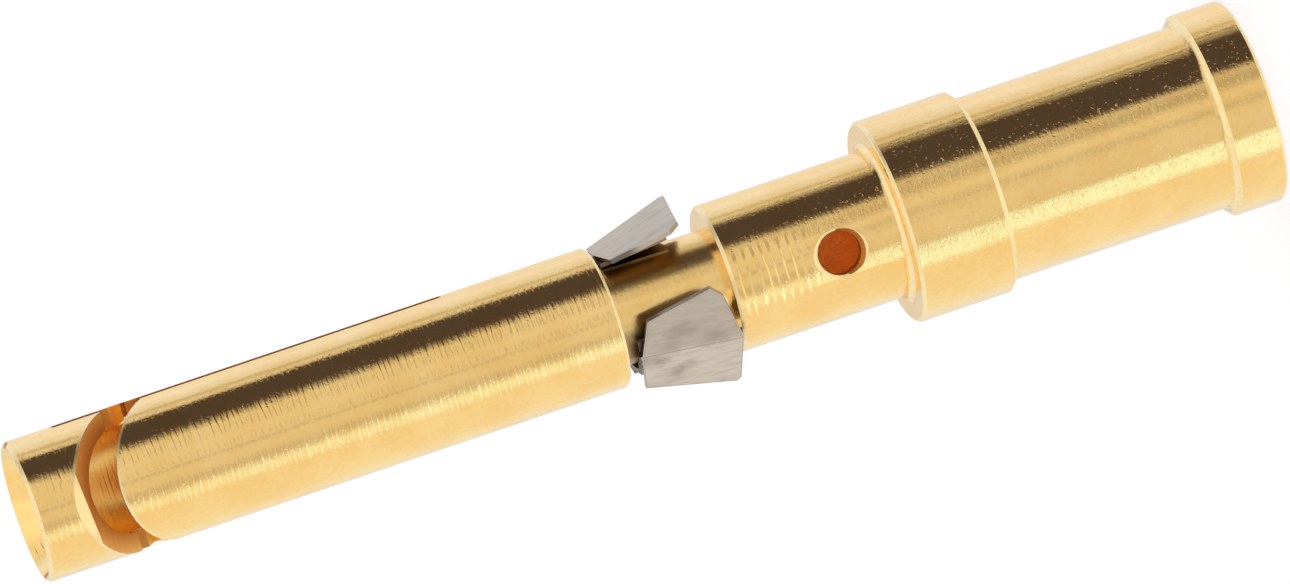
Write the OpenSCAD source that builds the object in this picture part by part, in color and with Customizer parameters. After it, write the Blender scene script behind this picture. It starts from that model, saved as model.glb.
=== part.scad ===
// Machined socket contact with a closed front ring and a folded spring clip.
// It stands on its wire end: z = 0 is the wire-end face and +Z points to the mating tip.
// Turn angles are measured about the axis from -Y towards -X.

/* [Wire end] */
// Diameter of the flange round the wire entry
flange_d = 3.79; // [3.6:0.01:4.2]
// Length of the flange, with its ramp
flange_len = 1.05; // [0.7:0.01:1.4]
// Axial length of the ramp from the flange down to the barrel
flange_ramp = 0.16; // [0.05:0.01:0.3]
// Bore that takes the stripped wire
wire_bore_d = 2.1; // [1.7:0.01:2.2]
// Full depth of the wire bore
wire_bore_depth = 9.0; // [8.7:0.05:9.4]
// Depth of the countersink at the wire entry
wire_entry_depth = 0.35; // [0.1:0.01:0.6]

/* [Crimp barrel] */
// Outside diameter of the crimp barrel
barrel_d = 3.43; // [3.0:0.01:3.5]
// Length of the crimp barrel between flange and collar
barrel_len = 4.15; // [3:0.02:6]

/* [Collar] */
// Diameter of the stop collar
collar_d = 3.79; // [3.6:0.01:4.2]
// Length of the stop collar
collar_len = 1.85; // [1:0.02:3]

/* [Neck] */
// Diameter of the neck in front of the collar
neck_d = 2.75; // [2.5:0.01:2.9]
// Length of the neck
neck_len = 3.25; // [2.6:0.02:4.5]
// Inspection hole into the wire bore
sight_hole_d = 0.8; // [0.4:0.02:1.0]
// Distance of the inspection hole behind the front end of the neck
sight_hole_back = 2.05; // [1.7:0.05:2.3]
// Depth of the countersink round the inspection hole
sight_hole_edge = 0.11; // [0.09:0.01:0.15]
// Turn of the inspection hole about the axis
sight_hole_turn = 11; // [-180:1:180]

/* [Clip groove] */
// Diameter at the bottom of the clip groove
groove_d = 1.9; // [1.6:0.01:2.0]
// Length of the clip groove
groove_len = 2.12; // [2.08:0.01:3]

/* [Socket sleeve] */
// Outside diameter of the socket sleeve
sleeve_d = 2.62; // [2.5:0.01:2.9]
// Length of the socket sleeve
sleeve_len = 11.06; // [10:0.02:14]
// Bore that takes the mating pin
socket_bore_d = 1.9; // [1.6:0.01:2.0]
// Full depth of the socket bore
socket_bore_depth = 9.6; // [9:0.05:9.8]
// Depth of the funnel at the entry
funnel_depth = 0.5; // [0.3:0.01:0.7]
// Width of the flat rim left round the funnel
funnel_rim = 0.04; // [0.02:0.01:0.1]

/* [Tongue] */
// Turn of the tongue's middle about the axis
tongue_turn = 9; // [-180:1:180]
// Width of the slanted slot behind the front ring
slot_w = 0.6; // [0.3:0.02:0.8]
// Lean of the slanted slot from square to the axis
slot_lean = 40; // [25:1:50]
// Distance from the tip to where the slot's middle crosses the axis
slot_back = 2.28; // [1.9:0.02:3]
// How far the slot is sawn past the axis
slot_past_axis = 0.1; // [0.05:0.01:0.3]
// Turn of the deburred facet on the ring's slot edge, from the tongue's middle
facet_turn = 2; // [0:1:6]
// Lean of that facet from square to the axis
facet_lean = 50; // [48:1:56]
// Length along the axis that the facet takes off the edge
facet_cut = 0.07; // [0.03:0.01:0.08]
// Width of the two lengthwise slits
slit_w = 0.2; // [0.1:0.01:0.4]
// Distance from the tip to the front end of the slits
slit_front = 0.9; // [0.7:0.02:1.2]
// Distance from the tip to the rear end of the slits
slit_rear = 8.3; // [7:0.05:8.8]
// Radius of the saw that cuts the slits
slit_saw_r = 3; // [2:0.1:6]
// How far the slits are sawn past the bore's wall
slit_past_wall = 0.12; // [0.05:0.01:0.3]

/* [Broken edges] */
// Chamfer on the turned outer edges
edge = 0.06; // [0.02:0.01:0.1]
// Chamfer on the rear edge of the collar
soft_edge = 0.1; // [0.05:0.01:0.15]
// Chamfer in the corner between neck and collar
corner_fill = 0.12; // [0.04:0.01:0.2]

/* [Retention clip] */
// Thickness of the clip's sheet
clip_t = 0.09; // [0.07:0.01:0.12]
// Length of the band along the axis
band_w = 1.3; // [0.9:0.01:1.4]
// Angle by which the band runs on past the creases of its end lances
band_run_on = 14; // [1:1:20]
// Turn of the middle of the band's opening about the axis
band_gap_turn = -16; // [-180:1:180]
// Lean of the loose clip in its groove
clip_lean = 4.5; // [0:0.1:5]
// Free play of the clip round the groove and at its front
clip_play = 0.015; // [0.01:0.005:0.04]
// Angle between neighbouring lances
lance_pitch = 119; // [110:1:122]
// Length of a lance, less its nose
lance_len = 1.74; // [1.2:0.02:1.8]
// Length of the last lance, which is cut off straight
last_lance_len = 1.7; // [1.2:0.02:1.8]
// Outward flare of a lance
lance_flare = 11.8; // [5:0.1:14]
// Turn of each lance in its own plane, from a strip that was rolled slightly askew
lance_skew = 4.5; // [0:0.5:6]
// How far the nose at the crease stands out of the free end of the other lances
lance_nose = 0.12; // [0.02:0.01:0.16]
// Half width of a lance at its root
lance_root_half = 0.8; // [0.5:0.01:0.9]
// Half width of a lance at its free end
lance_end_half = 1.08; // [0.9:0.01:1.2]
// Chamfer on the free corners of a lance
lance_corner = 0.08; // [0.05:0.01:0.3]
// Half width at the free end on the side of the band's opening
opening_end_half = 1.27; // [0.95:0.01:1.3]
// Chamfer on the free corner on that side
opening_corner = 0.22; // [0.05:0.01:0.3]
// How far both ends of a lance are cut back on that side
opening_set_back = 0.17; // [0.05:0.01:0.3]
// Angle by which each half of a lance bends down from its crease
lance_crease = 3; // [1:0.5:6]
// Angle of the band that is folded over into each half of a lance
fold_angle = 30; // [20:1:34]
// Amount by which the tight fold is squeezed thinner than the sheet
fold_squeeze = 0.01; // [0.005:0.005:0.03]

/* [Hidden] */
$fn = 96;

GOLD = [0.84, 0.64, 0.25];
STEEL = [0.68, 0.66, 0.63];

// Cuts reach this far past the faces that they open
over = 0.5;
// Half angle of a drill's point
drill_half_angle = 59;

// Stations along the axis
z_flange = flange_len;
z_collar_rear = z_flange + barrel_len;
z_collar_front = z_collar_rear + collar_len;
z_neck_front = z_collar_front + neck_len;
z_sleeve_rear = z_neck_front + groove_len;
z_tip = z_sleeve_rear + sleeve_len;
z_sight_hole = z_neck_front - sight_hole_back;

// Radii
flange_r = flange_d / 2;
barrel_r = barrel_d / 2;
collar_r = collar_d / 2;
neck_r = neck_d / 2;
groove_r = groove_d / 2;
sleeve_r = sleeve_d / 2;
socket_r = socket_bore_d / 2;
wire_r = wire_bore_d / 2;
sight_r = sight_hole_d / 2;

// Slits: depth of the saw below the sleeve's surface, and the length of its run-out there
slit_depth = sleeve_r - socket_r + slit_past_wall;
slit_run_out = sqrt(2 * slit_saw_r * slit_depth - slit_depth * slit_depth);

// Clip: the band clears the groove when it leans, and its fold clears the sleeve
band_in_r = groove_r / cos(clip_lean) + band_w / 2 * tan(clip_lean) + clip_play;
band_out_r = band_in_r + clip_t;
lance_root_r = band_out_r + fold_squeeze;
fold_r = clip_t - fold_squeeze;
fold_top_r = lance_root_r + clip_t;
band_half_angle = lance_pitch + band_run_on;
z_fold = z_sleeve_rear - clip_play - fold_r - fold_top_r * sin(clip_lean);
z_clip_middle = z_fold - band_w / 2;

// Turns what points along +X to the given turn about the axis
module turned(turn) {
    rotate([0, 0, -90 - turn])
        children();
}

// Blind hole along +Z with a drill's point, from z = 0
module drilled(r, depth) {
    translate([0, 0, -over])
        cylinder(r = r, h = depth + over);
    translate([0, 0, depth])
        cylinder(r1 = r, r2 = 0, h = r / tan(drill_half_angle));
}

// Outline of the turned body, from the wire end to the tip
module body_outline() {
    polygon([
        [0, 0],
        [flange_r - edge, 0],
        [flange_r, edge],
        [flange_r, z_flange - flange_ramp],
        [barrel_r, z_flange],
        [barrel_r, z_collar_rear],
        [collar_r - soft_edge, z_collar_rear],
        [collar_r, z_collar_rear + soft_edge],
        [collar_r, z_collar_front - edge],
        [collar_r - edge, z_collar_front],
        [neck_r + corner_fill, z_collar_front],
        [neck_r, z_collar_front + corner_fill],
        [neck_r, z_neck_front - edge],
        [neck_r - edge, z_neck_front],
        [groove_r, z_neck_front],
        [groove_r, z_sleeve_rear],
        [sleeve_r - edge, z_sleeve_rear],
        [sleeve_r, z_sleeve_rear + edge],
        [sleeve_r, z_tip - edge],
        [sleeve_r - edge, z_tip],
        [0, z_tip]
    ]);
}

// Socket bore with its funnel entry, cut from the tip
module socket_bore() {
    translate([0, 0, z_tip])
        mirror([0, 0, 1]) {
            drilled(socket_r, socket_bore_depth);
            cylinder(r1 = sleeve_r - edge - funnel_rim, r2 = socket_r, h = funnel_depth);
        }
}

// Wire bore with its countersunk entry, cut from the wire end
module wire_bore() {
    drilled(wire_r, wire_bore_depth);
    cylinder(r1 = wire_r + wire_entry_depth, r2 = wire_r, h = wire_entry_depth);
}

// Inspection hole with a broken edge
module sight_hole() {
    rise = sight_hole_edge + over;
    translate([0, 0, z_sight_hole])
        turned(sight_hole_turn)
            rotate([0, 90, 0]) {
                cylinder(r = sight_r, h = neck_r + over);
                translate([0, 0, neck_r - sight_hole_edge])
                    cylinder(r1 = sight_r, r2 = sight_r + rise, h = rise);
            }
}

// Puts what is drawn along XY into the middle of the slanted slot, with +X out through the tongue
module along_slot() {
    translate([0, 0, z_tip - slot_back])
        turned(tongue_turn)
            rotate([0, -slot_lean, 0])
                children();
}

// Slanted saw slot that parts the tongue from the front ring
module tongue_slot() {
    along_slot()
        translate([-slot_past_axis, -sleeve_d, -slot_w / 2])
            cube([2 * sleeve_d, 2 * sleeve_d, slot_w]);
}

// Deburred facet on the edge that the slot leaves on the front ring; it is widest where the facet's
// plane and the slot's front wall rise alike along the sleeve's surface
module slot_facet() {
    z_wall = z_tip - slot_back + slot_w / 2 / cos(slot_lean);
    wall_rise = sleeve_r * tan(slot_lean);
    facet_rise = sleeve_r * tan(facet_lean);
    widest = atan2(facet_rise * sin(facet_turn), facet_rise * cos(facet_turn) - wall_rise);
    z_facet = z_wall + facet_cut + wall_rise * cos(widest) - facet_rise * cos(widest - facet_turn);
    intersection() {
        translate([0, 0, z_facet])
            turned(tongue_turn + facet_turn)
                rotate([0, -facet_lean, 0])
                    translate([0, -sleeve_d, -sleeve_d])
                        cube([2 * sleeve_d, 2 * sleeve_d, sleeve_d]);
        along_slot()
            translate([0, -sleeve_d, 0])
                cube([2 * sleeve_d, 2 * sleeve_d, sleeve_d]);
    }
}

// One saw slit along the tongue's edge, on the +Y side before it is turned
module slit() {
    z_front = z_tip - slit_front - slit_run_out;
    z_rear = z_tip - slit_rear + slit_run_out;
    y_saw = sleeve_r - slit_depth + slit_saw_r;
    for (z = [z_rear, z_front])
        translate([0, y_saw, z])
            rotate([0, 90, 0])
                cylinder(r = slit_saw_r, h = slit_w, center = true);
    translate([-slit_w / 2, sleeve_r - slit_depth, z_rear])
        cube([slit_w, slit_depth + over, z_front - z_rear]);
}

module contact_body() {
    color(GOLD)
        difference() {
            rotate_extrude()
                body_outline();
            socket_bore();
            wire_bore();
            sight_hole();
            tongue_slot();
            slot_facet();
            turned(tongue_turn) {
                slit();
                mirror([0, 1, 0])
                    slit();
            }
        }
}

// Cross-section of the creased sheet of a lance, with the crease's inner line at the origin
module creased_section() {
    rise = clip_t / cos(lance_crease);
    side = opening_end_half + over;
    fall = side * tan(lance_crease);
    polygon([
        [0, 0],
        [-fall, side],
        [rise - fall, side],
        [rise, 0],
        [rise - fall, -side],
        [-fall, -side]
    ]);
}

// One side of a lance's flat outline: across in x, from root to free end in -y
function lance_side(len, opening) = opening ? [
    [lance_root_half, -opening_set_back],
    [opening_end_half, opening_set_back + opening_corner - len],
    [opening_end_half - opening_corner, opening_set_back - len]
] : [
    [lance_root_half, 0],
    [lance_end_half, lance_corner - len],
    [lance_end_half - lance_corner, -len]
];

// Flat outline of a lance with the given nose; either side may lie at the band's opening
module lance_outline(len, nose, left_open, right_open) {
    left = lance_side(len, left_open);
    right = [for (point = lance_side(len, right_open)) [-point.x, point.y]];
    tip = nose > 0 ? [[0, -len - nose]] : [];
    polygon(concat([[0, 0]], left, tip, [right[2], right[1], right[0]]));
}

// A lance with its crease along -Z; either side may lie at the band's opening
module lance(len, nose, left_open, right_open) {
    translate([lance_root_r, 0, z_fold])
        rotate([-lance_skew, 0, 0])
            rotate([0, -lance_flare, 0])
                intersection() {
                    translate([0, 0, -len - over])
                        linear_extrude(len + 2 * over)
                            creased_section();
                    rotate([90, 0, 90])
                        linear_extrude(2 * over, center = true)
                            lance_outline(len, nose, left_open, right_open);
                }
}

// Fold between band and lance over the given span of turns, counted from +X towards +Y
module fold(from, to) {
    rotate([0, 0, from])
        rotate_extrude(angle = to - from)
            translate([band_out_r, z_fold])
                circle(r = fold_r);
}

module retention_clip() {
    color(STEEL)
        translate([0, 0, z_clip_middle])
            rotate([0, -clip_lean, 0])
                translate([0, 0, -z_clip_middle])
                    turned(band_gap_turn + 180) {
                        rotate([0, 0, -band_half_angle])
                            rotate_extrude(angle = 2 * band_half_angle)
                                translate([band_in_r, z_fold - band_w])
                                    square([clip_t, band_w]);
                        lance(lance_len, lance_nose, false, false);
                        fold(-fold_angle, fold_angle);
                        rotate([0, 0, lance_pitch]) {
                            lance(lance_len, lance_nose, true, false);
                            fold(-fold_angle, 0);
                        }
                        rotate([0, 0, -lance_pitch]) {
                            lance(last_lance_len, 0, false, true);
                            fold(0, fold_angle);
                        }
                    }
}

contact_body();
retention_clip();
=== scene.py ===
import math
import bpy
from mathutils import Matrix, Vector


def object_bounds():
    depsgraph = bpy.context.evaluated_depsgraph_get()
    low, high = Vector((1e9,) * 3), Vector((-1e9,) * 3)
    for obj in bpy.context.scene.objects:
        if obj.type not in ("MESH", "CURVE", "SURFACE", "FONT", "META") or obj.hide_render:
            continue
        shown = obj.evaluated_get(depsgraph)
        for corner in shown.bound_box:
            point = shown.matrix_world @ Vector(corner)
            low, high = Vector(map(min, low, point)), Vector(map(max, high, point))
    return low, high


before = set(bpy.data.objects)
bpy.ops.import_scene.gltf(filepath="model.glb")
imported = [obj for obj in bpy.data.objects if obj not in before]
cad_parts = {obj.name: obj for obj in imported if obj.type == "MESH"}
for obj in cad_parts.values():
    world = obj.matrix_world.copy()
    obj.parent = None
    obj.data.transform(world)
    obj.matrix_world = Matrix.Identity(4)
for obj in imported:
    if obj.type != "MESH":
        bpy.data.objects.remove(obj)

from types import SimpleNamespace

import bpy
from mathutils import Matrix, Vector

# The box of the CAD model, in metres
cad_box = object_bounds()
MM = 0.001
MICRON = 0.001 * MM
scene = bpy.context.scene
scene.view_settings.view_transform = "Standard"


class Nodes:
    """Short hand for building a node tree."""

    def __init__(self, tree):
        self.tree = tree
        tree.nodes.clear()

    def add(self, kind, **sockets):
        node = self.tree.nodes.new(kind)
        for key, value in sockets.items():
            self.put(node, key, value)
        return node

    def put(self, node, key, value):
        """Sets or links a socket, given by its name or, as in i0, by its index."""
        by_index = key[0] == "i" and key[1:].isdigit()
        socket = node.inputs[int(key[1:]) if by_index else key.replace("_", " ")]
        if isinstance(value, bpy.types.NodeSocket):
            self.tree.links.new(value, socket)
        else:
            socket.default_value = value

    def math(self, operation, a, b=0.0):
        node = self.add("ShaderNodeMath", i0=a, i1=b)
        node.operation = operation
        return node.outputs[0]

    def total(self, *values):
        result = values[0]
        for value in values[1:]:
            result = self.math("ADD", result, value)
        return result

    def product(self, *values):
        result = values[0]
        for value in values[1:]:
            result = self.math("MULTIPLY", result, value)
        return result

    def rest(self, share):
        """What a share leaves of one."""
        return self.math("SUBTRACT", 1.0, share)

    def vector(self, operation, a, b=(0, 0, 0)):
        node = self.add("ShaderNodeVectorMath", i0=a, i1=b)
        node.operation = operation
        return node

    def dot(self, a, b):
        return self.vector("DOT_PRODUCT", a, b).outputs["Value"]

    def stretch(self, place, x, y, z):
        return self.vector("MULTIPLY", place, (x, y, z)).outputs["Vector"]

    def parts(self, vector):
        """The x, y and z of a vector."""
        return self.add("ShaderNodeSeparateXYZ", i0=vector).outputs

    def noise(self, place, scale=1.0, detail=2.0):
        return self.add("ShaderNodeTexNoise", Vector=place, Scale=scale, Detail=detail).outputs["Fac"]

    def step(self, value, low, high):
        """0 below low, 1 above high, smooth between them; with low above high it falls."""
        node = self.add("ShaderNodeMapRange", Value=value, From_Min=low, From_Max=high)
        node.interpolation_type = "SMOOTHSTEP"
        return node.outputs[0]

    def blend(self, share, a, b):
        """Mixes two numbers."""
        return self.add("ShaderNodeMix", i0=share, i2=a, i3=b).outputs[0]

    def tint(self, share, a, b):
        """Mixes two colours."""
        node = self.add("ShaderNodeMix")
        node.data_type = "RGBA"
        for key, value in (("i0", share), ("i6", a), ("i7", b)):
            self.put(node, key, (*value, 1) if isinstance(value, tuple) else value)
        return node.outputs[2]

    def turn_to(self, share, a, b):
        """Mixes two vectors."""
        node = self.add("ShaderNodeMix", i0=share)
        node.data_type = "VECTOR"
        self.put(node, "i4", a)
        self.put(node, "i5", b)
        return node.outputs[1]

    def ramp(self, share, stops):
        node = self.add("ShaderNodeValToRGB", Fac=share)
        elements = node.color_ramp.elements
        while len(elements) < len(stops):
            elements.new(0.5)
        for element, (position, colour) in zip(elements, stops):
            element.position = position
            element.color = (*colour, 1)
        return node.outputs[0]


def make_camera():
    """The contact's axis runs from the upper right to the lower left of the picture."""
    roll = math.radians(18.63)
    tilt = math.radians(10.3)
    distance = 286 * MM
    target = Vector((0.20, 0, 11.60)) * MM
    back = Vector((0, -math.cos(tilt), math.sin(tilt)))
    along = Vector((0, math.sin(tilt), math.cos(tilt)))
    across = Vector((1, 0, 0))
    right = -math.cos(roll) * along - math.sin(roll) * across
    up = -math.sin(roll) * along + math.cos(roll) * across
    data = bpy.data.cameras.new("camera")
    data.sensor_width = 36
    data.lens = 446
    data.clip_start = 0.01
    data.clip_end = 20
    camera = bpy.data.objects.new("camera", data)
    scene.collection.objects.link(camera)
    turned = Matrix((right, up, back)).transposed().to_4x4()
    camera.matrix_world = Matrix.Translation(target + back * distance) @ turned
    scene.camera = camera


def grey(value):
    return (value, value, value)


# Colour of the studio's walls at turns about the vertical from the camera's side, in degrees
WALLS = [
    (-180, grey(0.80)),
    (-154, (0.92, 0.95, 0.97)),
    (-140, (0.93, 0.98, 1.08)),
    (-126, (0.94, 1.06, 1.48)),
    (-112, (0.84, 0.95, 1.28)),
    (-88, grey(0.74)),
    (-20, grey(0.83)),
    (40, grey(0.78)),
    (66, grey(0.95)),
    (110, (0.95, 0.99, 1.09)),
    (140, (0.94, 1.04, 1.20)),
    (180, grey(0.80)),
]
# Each card: the turns where it starts and ends, how soft those edges are, and its colour
HIGH_CARDS = [
    (-102, -97, 4, 4, grey(0.52)),
    (-87, -41, 2.5, 9, (0.082, 0.068, 0.082)),
    (6, 9, 3, 3, grey(0.57)),
    (30, 42, 5, 5, grey(0.65)),
    (47, 62, 4, 4, (0.98, 1.09, 1.18)),
]
LOW_CARDS = [
    (-102, -96, 3, 3, grey(0.62)),
    (-92, -89, 1.5, 1.5, grey(0.20)),
    (-87, -41, 2.5, 5, (0.080, 0.068, 0.085)),
    (-86, -82, 2, 3, grey(0.35)),
    (-37, -20, 6, 7, grey(0.52)),
    (-6, 3, 5, 4, grey(0.65)),
    (36, 60, 3, 4, (1.00, 1.38, 1.80)),
]
# Heights, as the z of a direction, between which the low cards take over from the high ones
LOW_CARDS_FROM = -0.178
LOW_CARDS_FULL = -0.194
# Degrees that a card's edges lean for each unit of height, and the height at which its turns hold
CARD_SLANT = 55
CARD_LEVEL = -0.18
# Heights between which the light from the two ends sets in, its brightest turn, and its fade
END_LIGHT_FROM = 0.36
END_LIGHT_FULL = 0.58
END_LIGHT_TURN = 25
END_LIGHT_FADE = 70


def turn_of(n, x, y):
    """Turn about the vertical axis from the camera's side, in degrees."""
    return n.product(n.math("ARCTAN2", n.product(x, -1.0), n.product(y, -1.0)), 180 / math.pi)


def hang_cards(n, colour, turn, cards):
    """Covers parts of the ring of light with coloured cards."""
    for start, end, start_soft, end_soft, card in cards:
        after_start = n.step(turn, start - start_soft, start + start_soft)
        before_end = n.step(turn, end + end_soft, end - end_soft)
        colour = n.tint(n.product(after_start, before_end), colour, card)
    return colour


def make_studio():
    """Soft light from all round, with a dark card on one side of the camera and a bright strip
    on the other. The camera itself sees plain white."""
    world = bpy.data.worlds.new("studio")
    scene.world = world
    world.use_nodes = True
    n = Nodes(world.node_tree)
    x, y, z = n.parts(n.add("ShaderNodeTexCoord").outputs["Generated"])
    turn = turn_of(n, x, y)
    # Tool marks make leaning edges ragged; edges lean past the dark card's start, but not at turn 0
    leaning = n.product(
        n.step(n.math("ABSOLUTE", turn), 14, 28), n.step(turn, -80, -62), n.step(turn, 170, 120)
    )
    turn = n.total(turn, n.product(leaning, CARD_SLANT, n.math("SUBTRACT", z, CARD_LEVEL)))
    share = n.math("ADD", n.math("DIVIDE", turn, 360), 0.5)
    ring = n.ramp(share, [(degrees / 360 + 0.5, colour) for degrees, colour in WALLS])
    # The sleeve mirrors the cards as they look higher up, the barrel as they look lower down
    high = hang_cards(n, ring, turn, HIGH_CARDS)
    low = hang_cards(n, ring, turn, LOW_CARDS)
    ring = n.tint(n.step(z, LOW_CARDS_FROM, LOW_CARDS_FULL), high, low)
    # Brighter light from both ends, strongest over the camera
    aside = n.math("ABSOLUTE", n.math("SUBTRACT", turn, END_LIGHT_TURN))
    end_light = n.tint(n.step(aside, END_LIGHT_FADE, 0), grey(0.95), grey(1.12))
    at_ends = n.step(n.math("ABSOLUTE", z), END_LIGHT_FROM, END_LIGHT_FULL)
    colour = n.tint(at_ends, ring, end_light)
    studio = n.add("ShaderNodeBackground", Color=colour, Strength=1.0)
    plain = n.add("ShaderNodeBackground", Color=(1, 1, 1, 1), Strength=1.0)
    seen = n.add("ShaderNodeLightPath").outputs["Is Camera Ray"]
    mixed = n.add("ShaderNodeMixShader", i0=seen, i1=studio.outputs[0], i2=plain.outputs[0])
    n.add("ShaderNodeOutputWorld", Surface=mixed.outputs[0])


def new_material(name):
    material = bpy.data.materials.new(name)
    material.use_nodes = True
    return material, Nodes(material.node_tree)


def make_floor():
    """A plain white floor that keeps the contact's shadow; the metal mirrors the studio instead."""
    paint = grey(0.40)
    own_light = 0.65
    bpy.ops.mesh.primitive_plane_add(size=4, location=(0, 0, 0))
    floor = bpy.context.object
    floor.name = "floor"
    material, n = new_material("floor_white")
    path = n.add("ShaderNodeLightPath").outputs
    seen = n.math("MAXIMUM", path["Is Glossy Ray"], path["Is Transmission Ray"])
    seen = n.math("MAXIMUM", path["Is Camera Ray"], seen)
    glow = n.add("ShaderNodeEmission", Color=(1, 1, 1, 1), Strength=n.product(seen, own_light))
    matt = n.add("ShaderNodeBsdfDiffuse", Color=(*paint, 1))
    both = n.add("ShaderNodeAddShader", i0=matt.outputs[0], i1=glow.outputs[0])
    n.add("ShaderNodeOutputMaterial", Surface=both.outputs[0])
    floor.data.materials.append(material)
    floor.visible_glossy = False


# Sizes of the contact that its finish follows, in millimetres and degrees
TIP = cad_box[1][2] / MM
FLANGE_RAMP_AT = 1.05
FLANGE_RAMP = 0.16
COLLAR_FRONT = 7.05
CORNER_FILL = 0.12
NECK_FRONT = 10.30
SLEEVE_REAR = 12.42
SLOT_BACK = 2.28
SLOT_HALF = 0.30
SLOT_PAST_AXIS = 0.10
SLOT_LEAN = 40
FACET_LEAN = 50
FACET_TURN = 11
FACET_REACH = 0.09
LIP_REACH = 0.02
TONGUE_TURN = 9
SLIT_HALF = 0.10
SLITS_REAR = TIP - 8.3
SOCKET_RADIUS = 0.95
SOCKET_REAR = 13.3
WIRE_RADIUS = 1.05
WIRE_FRONT = 9.8
HOLE_AT = 8.25
HOLE_TURN = 11
HOLE_RADIUS = 0.40
HOLE_EDGE = 0.06
CLIP_FRONT = 12.3
LANCE_TURN = 44
LANCES = 3


def outward(turn):
    """Direction square to the axis, at a turn in degrees from the camera's side."""
    return Vector((-math.sin(math.radians(turn)), -math.cos(math.radians(turn)), 0))


def leaning_normal(lean, turn):
    """Normal of a plane that leans back from square to the axis, on the side at the given turn."""
    lean = math.radians(lean)
    return Vector((0, 0, math.cos(lean))) - outward(turn) * math.sin(lean)


def unit(n, *vectors):
    """Direction of the sum of the vectors."""
    result = vectors[0]
    for vector in vectors[1:]:
        result = n.vector("ADD", result, vector).outputs["Vector"]
    return n.vector("NORMALIZE", result).outputs["Vector"]


def up_to(n, value, limit):
    """1 up to a limit in millimetres and a hundredth past it, then 0."""
    return n.step(value, limit + 0.02, limit + 0.01)


def from_on(n, value, limit):
    """1 from a hundredth before a limit in millimetres on, and 0 before that."""
    return n.step(value, limit - 0.02, limit - 0.01)


def measure(n):
    """Where a point lies, in millimetres and degrees, and which way its face looks."""
    metres = n.add("ShaderNodeTexCoord").outputs["Object"]
    place = n.stretch(metres, 1 / MM, 1 / MM, 1 / MM)
    x, y, z = n.parts(place)
    flat = n.add("ShaderNodeNewGeometry").outputs["True Normal"]
    radial = unit(n, n.stretch(place, 1, 1, 0))
    # The outer slope is 1 where a face looks straight out from the axis, and -1 where it looks in
    return SimpleNamespace(
        place=place, z=z, turn=turn_of(n, x, y),
        radius=n.math("SQRT", n.total(n.product(x, x), n.product(y, y))),
        flat=flat, radial=radial, outer_slope=n.dot(flat, radial), rise=n.parts(flat)[2],
    )


def slot_masks(n, at):
    """The slanted slot's walls, the facet on its front edge, its lips, and the two slits."""
    normal = leaning_normal(SLOT_LEAN, TONGUE_TURN)
    reach = leaning_normal(SLOT_LEAN - 90, TONGUE_TURN)
    middle = TIP - SLOT_BACK
    from_middle = n.math("ABSOLUTE", n.math("SUBTRACT", n.dot(at.place, normal), middle * normal.z))
    along = n.math("SUBTRACT", n.dot(at.place, reach), middle * reach.z)
    inside = n.step(along, -SLOT_PAST_AXIS - 0.01, -SLOT_PAST_AXIS)
    facet_end = SLOT_HALF + FACET_REACH
    lip_end = SLOT_HALF + LIP_REACH
    near = n.product(inside, n.step(from_middle, facet_end + 0.03, facet_end))
    to_facet = n.math("ABSOLUTE", n.dot(at.flat, leaning_normal(FACET_LEAN, FACET_TURN)))
    facet = n.product(near, n.step(to_facet, 0.993, 0.997))
    to_wall = n.math("ABSOLUTE", n.dot(at.flat, normal))
    cut = n.product(near, n.step(to_wall, 0.96, 0.98))
    lip = n.product(
        inside, n.step(from_middle, lip_end + 0.03, lip_end), n.step(at.outer_slope, 0.97, 0.98)
    )
    from_slits = n.math("ABSOLUTE", n.dot(at.place, outward(TONGUE_TURN)))
    slits = n.product(
        up_to(n, from_slits, SLIT_HALF), n.step(at.z, SLITS_REAR - 0.1, SLITS_REAR),
        n.step(at.radius, SOCKET_RADIUS, SOCKET_RADIUS + 0.01), n.step(at.outer_slope, 0.997, 0.992),
        n.rest(cut),
    )
    return SimpleNamespace(near=near, facet=facet, cut=cut, lip=lip, slits=slits)


def chamfer_masks(n, at, slot):
    """Chamfers round the outside, and how far their normals lean from round to flat."""
    chamfer = n.product(
        n.step(at.outer_slope, 0.2, 0.4), n.step(at.outer_slope, 0.97, 0.93),
        n.rest(slot.near), n.rest(slot.slits),
    )
    lean = 0.5
    # The two in hollow corners run out into the surface before them
    for start, length in ((FLANGE_RAMP_AT, FLANGE_RAMP), (COLLAR_FRONT + CORNER_FILL, CORNER_FILL)):
        in_corner = n.product(up_to(n, at.z, start), from_on(n, at.z, start - length))
        lean = n.blend(in_corner, lean, n.step(at.z, start, start - length))
    return chamfer, lean


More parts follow.
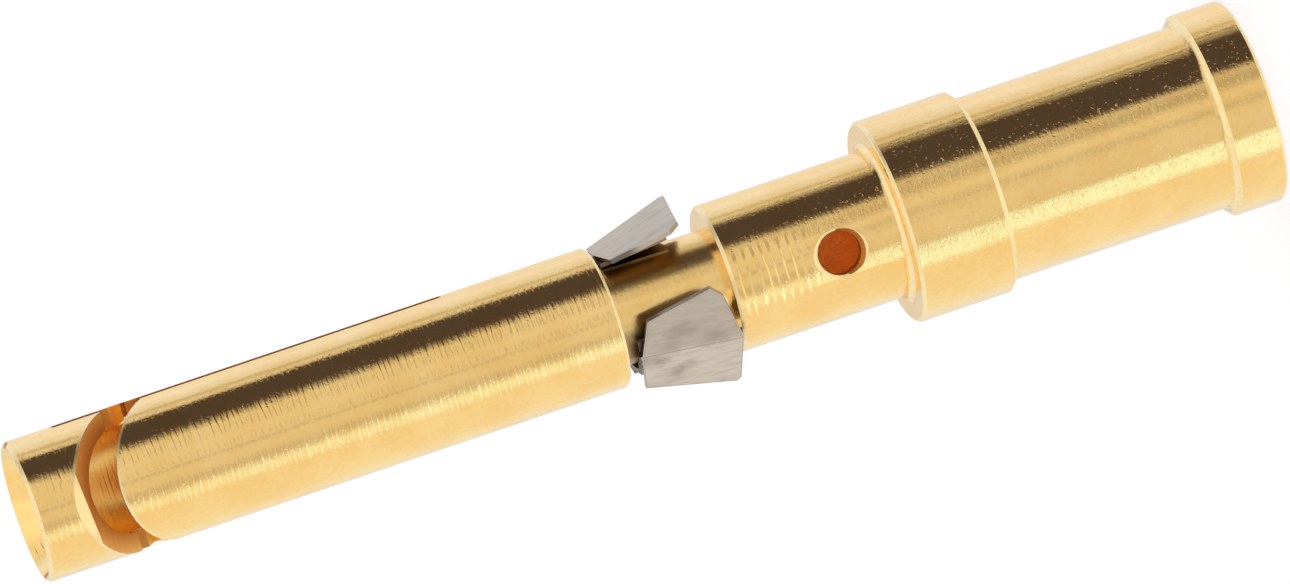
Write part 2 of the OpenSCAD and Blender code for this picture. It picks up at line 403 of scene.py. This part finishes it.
def bore_masks(n, at):
    """The two bores, the inspection hole's wall, and the groove with a painted shadow beside a lance."""
    socket = n.product(up_to(n, at.radius, SOCKET_RADIUS), n.step(at.z, SOCKET_REAR, SOCKET_REAR + 0.1))
    wire = n.product(up_to(n, at.radius, WIRE_RADIUS), n.step(at.z, WIRE_FRONT + 0.1, WIRE_FRONT))
    aim = outward(HOLE_TURN)
    from_centre = n.vector("SUBTRACT", at.place, (0, 0, HOLE_AT)).outputs["Vector"]
    off_aim = n.vector("CROSS_PRODUCT", from_centre, aim).outputs["Vector"]
    # Where the hole's wall faces the tip, its rounded edge counts as wall too
    reach = n.blend(n.step(at.rise, 0.05, 0.15), HOLE_RADIUS, HOLE_RADIUS + HOLE_EDGE)
    past_wall = n.math("SUBTRACT", n.vector("LENGTH", off_aim).outputs["Value"], reach)
    above_bore = n.step(n.dot(at.place, aim), WIRE_RADIUS + 0.01, WIRE_RADIUS + 0.03)
    hole = n.product(n.step(past_wall, 0.012, 0.008), above_bore)
    groove = n.product(
        n.step(at.z, NECK_FRONT, NECK_FRONT + 0.02), n.step(at.z, SLEEVE_REAR, SLEEVE_REAR - 0.02)
    )
    # Painted shadow on the groove beside a lance, just behind the sleeve's rear end
    shadow_beside_lance = n.product(
        groove, n.step(at.z, SLEEVE_REAR - 0.7, SLEEVE_REAR - 0.35),
        n.step(at.turn, 12, 32), n.step(at.turn, 100, 80),
    )
    return SimpleNamespace(socket=socket, wire=wire, hole=hole, groove=groove, shadow_beside_lance=shadow_beside_lance)


def ridges(n, at, pitch, drift, steep):
    """Tool marks round the axis that rise steeply and fall slowly, between 0 and 1."""
    shift = n.product(n.noise(n.stretch(at.place, 0.6, 0.6, 2.5)), drift)
    phase = n.math("FRACT", n.math("ADD", n.product(at.z, 1 / pitch), shift))
    return n.math("SUBTRACT", n.step(phase, 0.0, steep), phase)


def tool_marks(n, at):
    """Height in microns: steep ridges on the sleeve and at the neck's front, finer marks and grain."""
    on_sleeve = n.step(at.z, SLEEVE_REAR - 0.4, SLEEVE_REAR)
    towards_tip = n.step(at.z, COLLAR_FRONT, NECK_FRONT)
    ringed = n.product(
        n.step(at.z, NECK_FRONT - 1.7, NECK_FRONT - 1.1), n.step(at.z, NECK_FRONT, NECK_FRONT - 0.1),
        n.step(at.turn, -20, -2), n.step(at.turn, 70, 40),
    )
    patches = n.step(n.noise(n.stretch(at.place, 1.6, 1.6, 3.0)), 0.35, 0.65)
    sleeve_ridges = ridges(n, at, pitch=0.12, drift=2.4, steep=0.22)
    neck_ridges = ridges(n, at, pitch=0.17, drift=1.2, steep=0.40)
    broad = n.noise(n.stretch(at.place, 0.9, 0.9, 7.0))
    fine = n.noise(n.stretch(at.place, 2.6, 2.6, 24.0))
    grain = n.noise(at.place, scale=17.0, detail=3.0)
    pits = n.step(n.noise(at.place, scale=15.0), 0.59, 0.78)
    return n.total(
        n.product(pits, n.blend(towards_tip, -2.4, -1.0)),
        n.product(sleeve_ridges, patches, n.blend(on_sleeve, 0.3, 1.9)),
        n.product(neck_ridges, ringed, n.blend(patches, 7.0, 12.0)),
        n.product(broad, n.blend(on_sleeve, 1.0, 2.0)),
        n.product(fine, n.blend(on_sleeve, 0.4, 1.5)),
        n.product(grain, 1.1),
    )


def make_metal(n, colour, roughness, height, normal):
    """Ends a material's nodes in a metal, with its fine height given in microns."""
    bump = n.add("ShaderNodeBump", Height=height, Distance=MICRON, Normal=normal)
    metal = n.add(
        "ShaderNodeBsdfPrincipled",
        Base_Color=colour, Metallic=1.0, Roughness=roughness, Normal=bump.outputs[0],
    )
    n.add("ShaderNodeOutputMaterial", Surface=metal.outputs[0])


def gold_plate():
    """Bright gold plating over turning marks, with rough bores and saw cuts; edges paler from wear and
    painted highlight, painted shade in the slits and on the hole's wall, and a painted shadow beside a
    lance.
    """
    bright = (1.0, 0.68, 0.26)
    deep = (0.97, 0.62, 0.21)
    burnish_and_highlight = (1.0, 0.79, 0.41)
    sawn = (0.96, 0.56, 0.15)
    slit_shade = (0.62, 0.27, 0.06)
    painted_shadow = (0.34, 0.21, 0.10)
    drilled = (1.0, 0.67, 0.21)
    bored = (0.98, 0.79, 0.38)
    hole_shade = (0.60, 0.23, 0.04)
    facet_tilt = (0, 0, -0.26)

    material, n = new_material("gold_plate")
    at = measure(n)
    slot = slot_masks(n, at)
    bores = bore_masks(n, at)
    chamfer, lean = chamfer_masks(n, at, slot)
    # Chamfers and the slot's lips are paler and rougher: partly wear, partly a painted highlight
    rubbed_and_highlight = n.math("MAXIMUM", slot.lip, n.product(chamfer, n.step(lean, 0.2, 0.5)))

    # Edges are rounded off, so their normals lean back towards the round surface
    normal = n.turn_to(slot.cut, n.add("ShaderNodeNewGeometry").outputs["Normal"], at.flat)
    eased = n.product(chamfer, n.rest(bores.hole))
    normal = n.turn_to(eased, normal, unit(n, n.turn_to(lean, at.radial, at.flat)))
    normal = n.turn_to(slot.facet, normal, unit(n, at.radial, facet_tilt))

    broad = n.noise(at.place, scale=1.3, detail=3.0)
    fine = n.noise(at.place, scale=11.0)
    cloud = n.total(n.product(broad, 0.6), n.product(fine, 0.4))
    ragged = n.blend(n.step(n.noise(at.place, scale=9.0), 0.25, 0.50), 0.4, 1.0)
    colour = n.tint(n.step(cloud, 0.38, 0.64), bright, deep)
    for mask, shade in (
        (bores.socket, drilled),
        (bores.wire, bored),
        (n.product(slot.cut, n.rest(slot.facet)), sawn),
        # Edges, lips and the slot's facet are paler: partly wear, partly a painted highlight
        (n.product(rubbed_and_highlight, ragged), burnish_and_highlight),
        (n.product(slot.facet, 0.6), burnish_and_highlight),
        # Painted shade on the inspection hole's wall
        (bores.hole, hole_shade),
        # Painted shade on the walls of the narrow slits
        (slot.slits, slit_shade),
        # Painted shadow on the groove beside a lance
        (n.product(bores.shadow_beside_lance, 0.85), painted_shadow),
    ):
        colour = n.tint(mask, colour, shade)
    roughness = n.blend(n.noise(at.place, scale=6.0, detail=3.0), 0.05, 0.11)
    for mask, level in (
        (bores.groove, 0.20), (bores.socket, 0.32), (bores.wire, 0.70), (slot.cut, 0.52),
        (slot.facet, 0.20), (rubbed_and_highlight, 0.36), (bores.hole, 0.50), (slot.slits, 0.45),
        (bores.shadow_beside_lance, 0.40),
    ):
        roughness = n.blend(mask, roughness, level)
    make_metal(n, colour, roughness, tool_marks(n, at), normal)
    return material


def edge_bend(n, radius, normal):
    """How far the surface turns within a radius, as one less the cosine of the angle."""
    rounded = n.add("ShaderNodeBevel", Radius=radius)
    rounded.samples = 8
    return n.rest(n.dot(rounded.outputs[0], normal))


def spring_steel():
    """Rolled spring strip: satin, streaked along the lances, lightly stained; one half painted lighter
    as if lit, darker along creases, edges paler from wear and painted highlight, painted shade in folds
    and on inner faces.
    """
    pale = (0.545, 0.455, 0.345)
    stained = (0.43, 0.345, 0.26)
    painted_light_half = (0.675, 0.565, 0.43)
    worn_and_highlight = (0.72, 0.63, 0.53)
    shaded = (0.18, 0.145, 0.115)
    darker_crease = (0.30, 0.245, 0.19)
    edge_reach = 0.035 * MM

    material, n = new_material("spring_steel")
    at = measure(n)
    # Place across the nearest lance, from 0 to 1, with its crease at one half
    from_crease = n.math("DIVIDE", n.math("SUBTRACT", at.turn, LANCE_TURN), 360 / LANCES)
    across = n.math("FRACT", n.math("ADD", from_crease, 0.5))
    past_crease = n.product(n.step(across, 0.50, 0.53), n.step(at.turn, 0, 20))
    streak = n.noise(n.stretch(at.place, 16.0, 16.0, 1.6), detail=3.0)
    stain = n.noise(n.stretch(at.place, 2.2, 2.2, 1.4), detail=3.0)
    bend = edge_bend(n, edge_reach, at.flat)
    edge = n.step(bend, 0.004, 0.05)
    crease = n.step(bend, 0.00008, 0.00025)
    # The folds at the roots get painted shade; the lances' outer faces, which flare, stay pale
    lance_face = n.product(
        n.step(at.outer_slope, 0.70, 0.85), n.step(at.rise, 0.06, 0.11), n.step(at.rise, 0.5, 0.4)
    )
    root = n.product(n.step(at.z, CLIP_FRONT - 0.7, CLIP_FRONT - 0.4), n.rest(lance_face))
    # Faces that look in towards the axis get painted shade too
    inner_face = n.step(at.outer_slope, -0.2, -0.5)

    # The half of each lance past its crease is painted lighter, as if it caught more light
    colour = n.tint(past_crease, pale, painted_light_half)
    for mask, shade in (
        (n.step(stain, 0.46, 0.74), stained),
        (n.product(n.step(streak, 0.4, 0.7), 0.35), stained),
        # Darker along the crease
        (n.product(crease, 0.7), darker_crease),
        # Paler edges: partly wear, partly a painted highlight
        (n.product(edge, 0.8), worn_and_highlight),
        (n.math("MAXIMUM", inner_face, root), shaded),
    ):
        colour = n.tint(mask, colour, shade)
    make_metal(n, colour, n.blend(streak, 0.28, 0.46), n.product(streak, 1.4), at.flat)
    return material


make_camera()
make_studio()
make_floor()
for node, material in (("contact_body", gold_plate()), ("retention_clip", spring_steel())):
    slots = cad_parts[node].data.materials
    slots.clear()
    slots.append(material)

# Light bounces often between the walls of the slot and the bores
scene.cycles.max_bounces = 24
scene.cycles.glossy_bounces = 24
